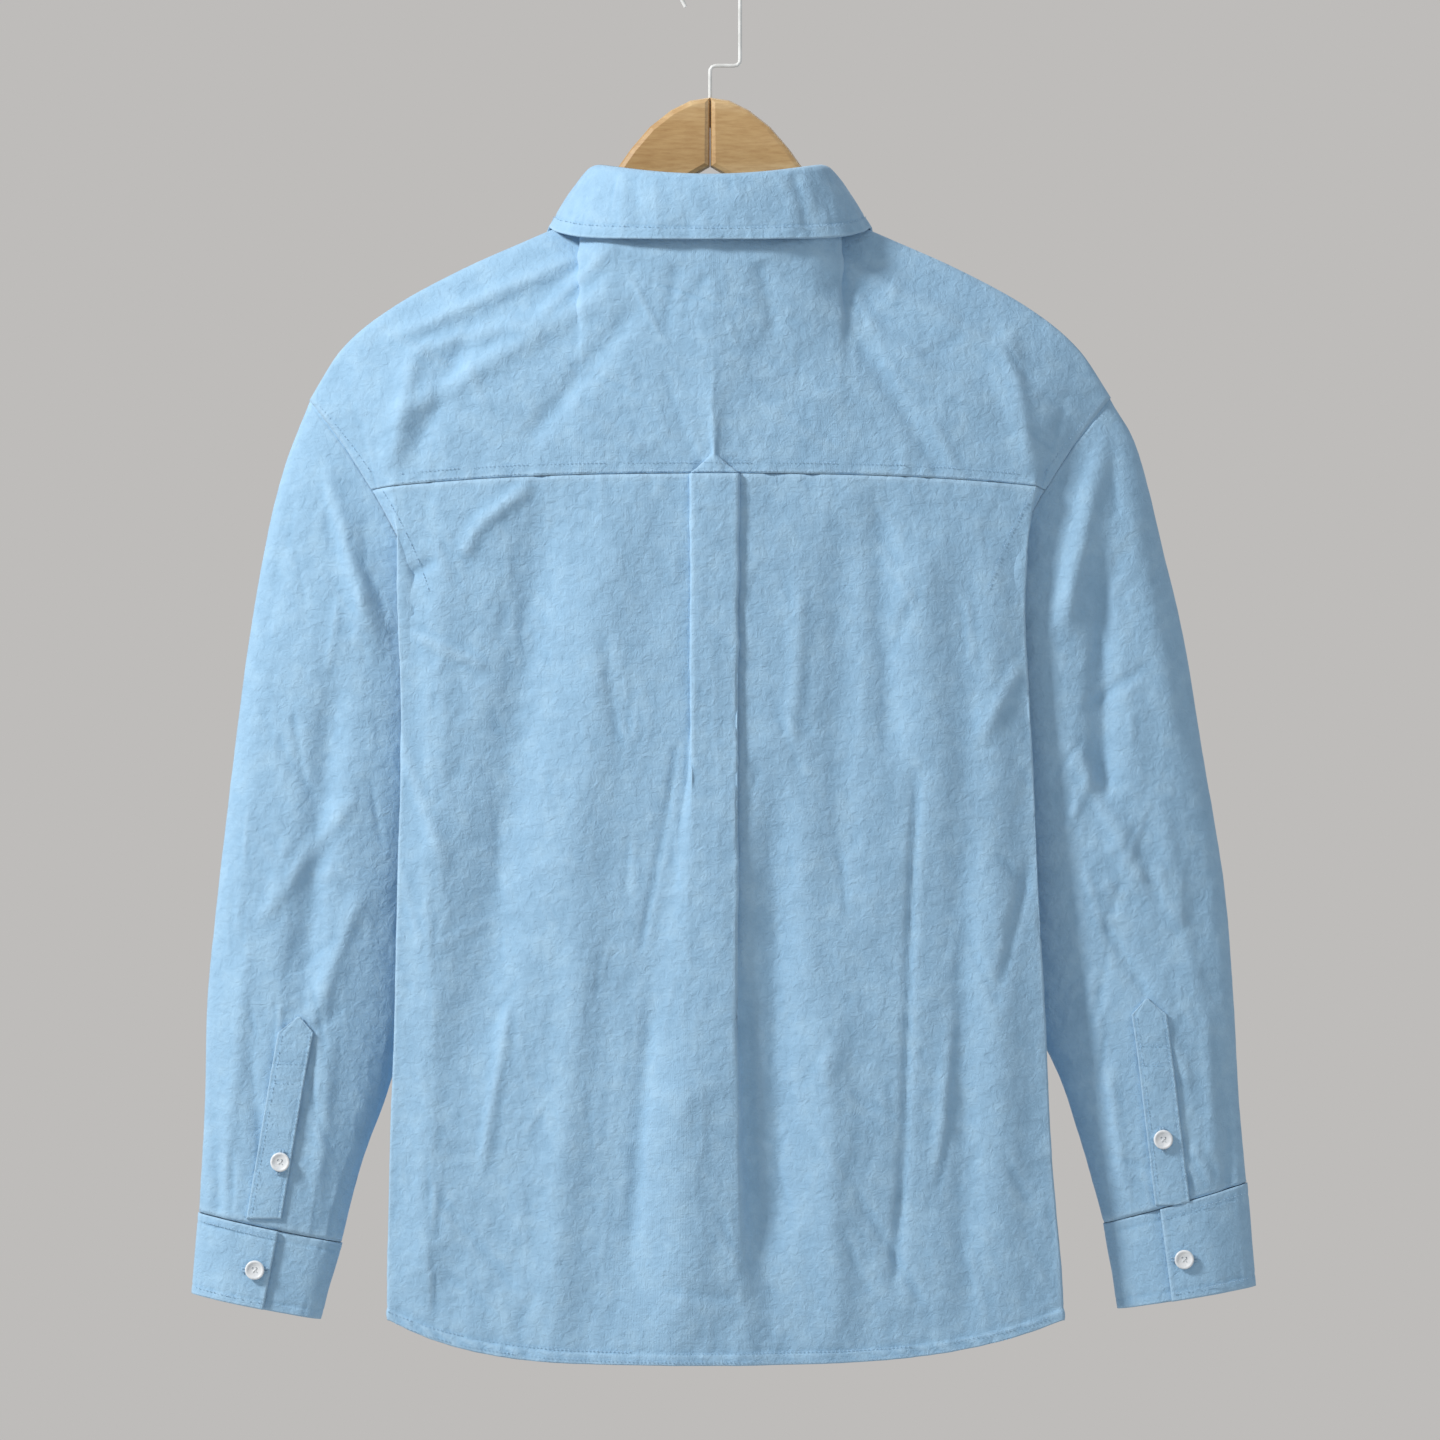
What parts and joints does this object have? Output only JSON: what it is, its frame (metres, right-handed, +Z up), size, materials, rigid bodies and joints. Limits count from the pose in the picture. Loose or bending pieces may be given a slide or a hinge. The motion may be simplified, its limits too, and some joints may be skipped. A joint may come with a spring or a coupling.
{
  "type": "long-sleeve shirt on hanger",
  "caption": "Light blue cotton shirt with long sleeves, back yoke and box pleat, buttoned up and hanging on a wooden hanger with a wire hook.",
  "frame": {"origin": "inside top of the hook, where a rail carries the hanger", "axes": "+Z up along the hanging shirt, +Y out of the shirt's front, -X towards the wearer's left"},
  "size_m": [0.7113, 0.1053, 0.9345],
  "materials": {
    "cloth": "washed cotton poplin, light blue, matt",
    "button": "white four-hole resin, satin",
    "wood": "pale maple, clear satin lacquer",
    "wire": "white painted wire"
  },
  "bodies": {
    "root": {"back_panel": "cloth", "back_yoke": "cloth", "front_left": "cloth", "front_right": "cloth", "front_placket": "cloth", "collar_stand": "cloth", "collar_leaf": "cloth", "sleeve_left": "cloth", "sleeve_right": "cloth", "cuff_left": "cloth", "cuff_right": "cloth", "sleeve_placket_left": "cloth", "sleeve_placket_right": "cloth", "front_button_1": "button", "front_button_2": "button", "front_button_3": "button", "front_button_4": "button", "front_button_5": "button", "front_button_6": "button", "collar_button": "button", "placket_button_left": "button", "placket_button_right": "button", "cuff_button_left": "button", "cuff_button_right": "button", "hanger_board_left": "wood", "hanger_board_right": "wood", "hanger_hook": "wire"}
  },
  "joints": []
}
